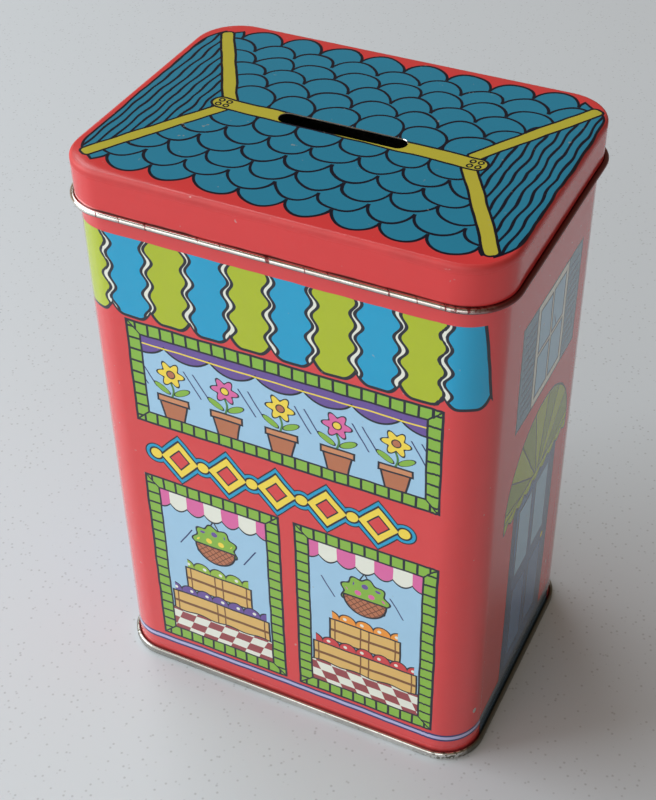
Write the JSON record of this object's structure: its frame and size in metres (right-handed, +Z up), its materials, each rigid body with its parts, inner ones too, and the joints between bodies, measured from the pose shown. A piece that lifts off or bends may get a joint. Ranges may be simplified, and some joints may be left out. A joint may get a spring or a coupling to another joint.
{
  "type": "tin money box",
  "caption": "Upright rectangular tin money box with rounded corners, a lock-seamed body, a seamed base and a lift-off lid pierced by a coin slot.",
  "frame": {"origin": "on the floor under the middle of the tin", "axes": "+Z up, +X to the right seen from the front, the front faces -Y"},
  "size_m": [0.1042, 0.0762, 0.153],
  "materials": {
    "lid_print": "gloss varnished print on tinplate, red skirt, bare rolled edge",
    "wall_print": "gloss varnished print on tinplate, mostly red",
    "bare_tinplate": "bright tinplate, lightly scuffed"
  },
  "bodies": {
    "tin": {"body_wall": "wall_print", "base": "bare_tinplate"},
    "lid": {"lid": "lid_print"}
  },
  "joints": [
    {"name": "lid_lift", "type": "slide", "parent": "tin", "child": "lid", "axis": [0, 0, 1], "range_m": [0, 0.06]}
  ]
}
